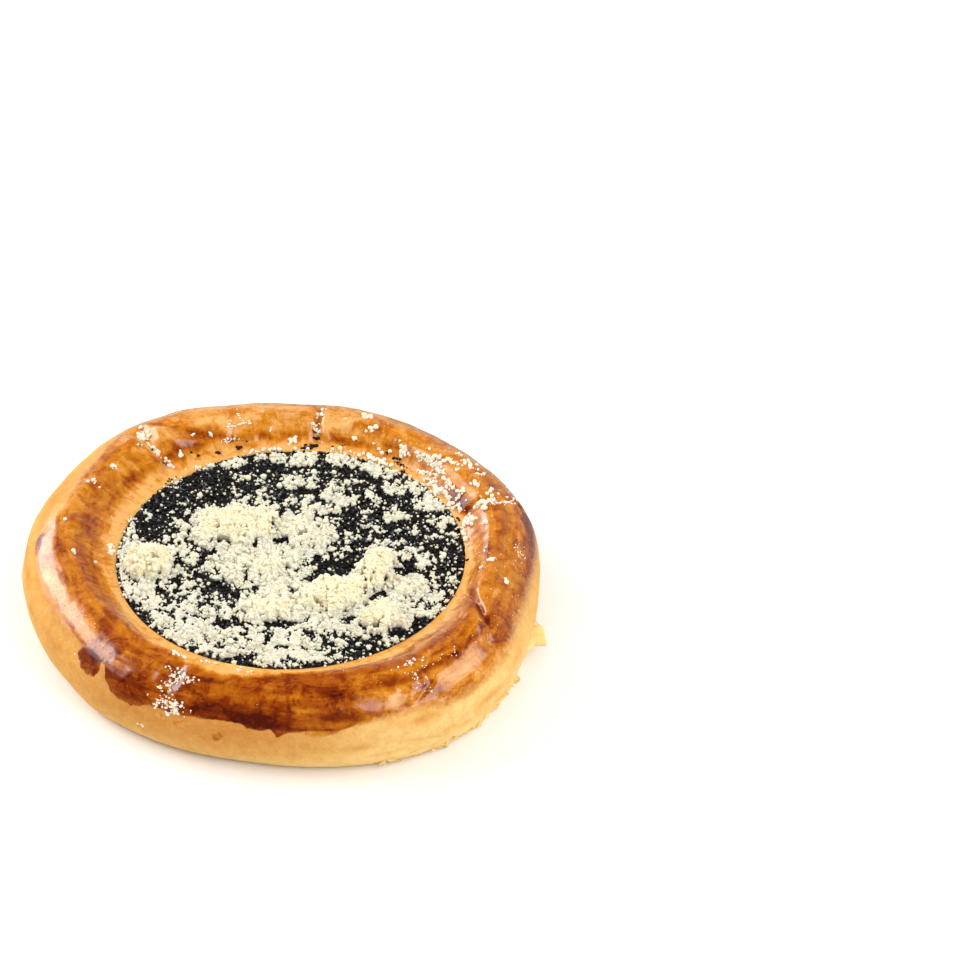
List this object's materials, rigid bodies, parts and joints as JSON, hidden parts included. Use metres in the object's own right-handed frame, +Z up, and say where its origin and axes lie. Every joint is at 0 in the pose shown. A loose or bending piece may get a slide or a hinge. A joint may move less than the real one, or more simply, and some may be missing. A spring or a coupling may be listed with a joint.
{
  "type": "poppy seed kolache",
  "caption": "Round baked yeast bun with a raised glazed rim round a pocket of dark poppy seed filling, topped with pale crumbly streusel.",
  "frame": {"origin": "on the flat underside, at the centre of the rim", "axes": "+Z up through the filling, +X towards the torn flap at the foot, +Y towards the back crease of the rim"},
  "size_m": [0.1174, 0.1111, 0.0244],
  "materials": {
    "crust": "baked yeast dough with an egg wash, glossy brown on the rim and matt and pale on the lower flank",
    "poppy_seed": "moist ground poppy seed, black and grainy",
    "streusel": "dry butter crumb, pale cream and grainy"
  },
  "bodies": {
    "root": {"bun": "crust", "poppy_filling": "poppy_seed", "streusel_heap": "streusel", "streusel_lump": "streusel"}
  },
  "joints": []
}
